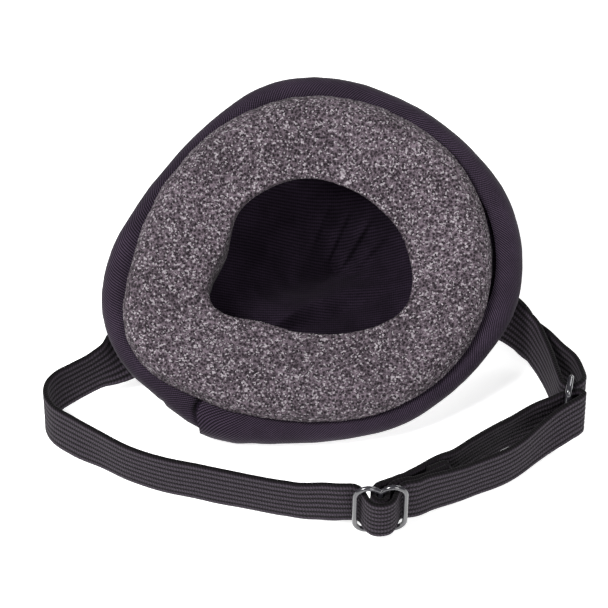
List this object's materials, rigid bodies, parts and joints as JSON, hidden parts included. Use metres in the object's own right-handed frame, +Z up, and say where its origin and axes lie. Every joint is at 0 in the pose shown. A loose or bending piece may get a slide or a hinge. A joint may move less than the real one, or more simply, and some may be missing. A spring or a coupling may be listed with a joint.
{
  "type": "eye patch",
  "caption": "Concave padded eye patch with a foam ring and bound rim, on a flat elastic strap with a wire slider and a wire ring.",
  "frame": {"origin": "centre of the bounding box's footprint, at the surface the patch and strap rest on", "axes": "+X along the strap's longest spread, to the right as seen from the side the padded opening faces; +Y from the strap's slider towards the patch; +Z up from the table"},
  "size_m": [0.1022, 0.0833, 0.0448],
  "materials": {
    "knit_cover": "matte black knit",
    "core_sheet": "plain",
    "knit_lining": "matte black knit",
    "binding_tape": "black twill tape",
    "thread": "black thread",
    "charcoal_foam": "matte open-cell foam",
    "adhesive": "tacky film",
    "elastic": "ribbed black elastic",
    "coated_wire": "glossy black coated steel wire"
  },
  "bodies": {
    "patch": {"outer_cover": "knit_cover", "stiffening_core": "core_sheet", "inner_lining": "knit_lining", "edge_binding": "binding_tape", "binding_stitching": "thread", "foam_ring": "charcoal_foam", "foam_adhesive": "adhesive", "strap_left_end": "elastic", "tab_inner_end": "elastic", "tab_outer_end": "elastic", "left_bartack": "thread", "tab_bartack": "thread"},
    "strap": {"strap_side_run": "elastic", "strap_feed_left": "elastic", "strap_feed_right": "elastic", "strap_front_run": "elastic", "strap_return_run": "elastic", "tab_loop": "elastic"},
    "slider_carriage": {"strap_in_slider": "elastic", "strap_end_loop": "elastic", "strap_end_bartack": "thread"},
    "slider": {"slider": "coated_wire"},
    "ring": {"ring": "coated_wire"}
  },
  "joints": [
    {"name": "strap_swing", "type": "hinge", "parent": "patch", "child": "strap", "pos_m": [0, 0.0015, 0.0075], "axis": [-1, 0, 0], "range_deg": [-25, 80]},
    {"name": "slider_adjust", "type": "slide", "parent": "strap", "child": "slider_carriage", "axis": [0.9981, 0.061, 0], "range_m": [-0.006, 0.006], "deforming": ["strap_feed_left", "strap_feed_right", "strap_return_run"]},
    {"name": "slider_rock", "type": "hinge", "parent": "slider_carriage", "child": "slider", "pos_m": [0.0118, -0.0381, 0.0065], "axis": [0.0064, -0.1043, 0.9945], "range_deg": [-5, 5]},
    {"name": "ring_pivot", "type": "hinge", "parent": "strap", "child": "ring", "pos_m": [0.0476, -0.0116, 0.0066], "axis": [0, 0, 1], "range_deg": [-8, 8]}
  ]
}
